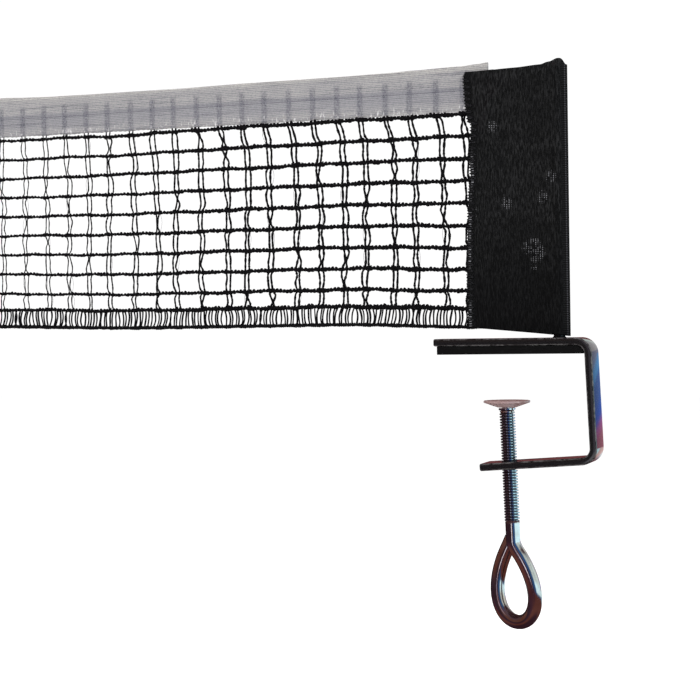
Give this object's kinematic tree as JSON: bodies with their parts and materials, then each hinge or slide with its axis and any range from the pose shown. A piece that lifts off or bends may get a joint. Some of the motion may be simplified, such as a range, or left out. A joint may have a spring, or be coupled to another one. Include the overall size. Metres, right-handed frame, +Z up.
{
  "type": "table tennis net clamp",
  "caption": "Screw clamp of bent flat bar with a net post, a looped-eye screw and swivel plate, carrying the sleeve and end of a table tennis net.",
  "frame": {"origin": "gripping face of the jaw pad, on the axis of the screw", "axes": "+X outward from the table, the net runs along -X; +Z up; Y along the table edge"},
  "size_m": [0.3732, 0.025, 0.3057],
  "materials": {
    "frame_paint": "gloss",
    "pad_rubber": "matt",
    "screw_zinc": "bright plated",
    "plate_steel": "satin",
    "sleeve_cloth": "matt woven",
    "tape_cloth": "fine woven",
    "net_cord": "matt knitted"
  },
  "bodies": {
    "clamp": {"clamp_frame": "frame_paint", "jaw_pad": "pad_rubber", "net_post": "frame_paint", "post_weld": "frame_paint"},
    "feed_washer": {"thrust_washer": "plate_steel"},
    "eye_screw": {"eye_screw": "screw_zinc"},
    "pressure_plate": {"pressure_plate": "plate_steel"},
    "net": {"net_sleeve": "sleeve_cloth", "net_tape": "tape_cloth", "net_mesh": "net_cord", "net_hem": "net_cord"}
  },
  "joints": [
    {"name": "screw_feed", "type": "slide", "parent": "clamp", "child": "feed_washer", "axis": [-0.0349, 0, 0.9994], "range_m": [-0.0265, 0.024]},
    {"name": "screw_turn", "type": "hinge", "parent": "feed_washer", "child": "eye_screw", "pos_m": [0.00105, 0, -0.0301], "axis": [-0.0349, 0, 0.9994], "range_deg": [-6350, 5750]},
    {"name": "plate_tilt", "type": "hinge", "parent": "feed_washer", "child": "pressure_plate", "pos_m": [0.00097, 0, -0.02777], "axis": [0, 1, 0], "range_deg": [-3, 3]},
    {"name": "net_swivel", "type": "hinge", "parent": "clamp", "child": "net", "pos_m": [0.03015, 0, 0], "axis": [0, 0, 1], "range_deg": [-90, 90]}
  ],
  "couplings": [
    {"joint": "screw_feed", "follows": "screw_turn", "m_per_rad": 0.00023873}
  ]
}
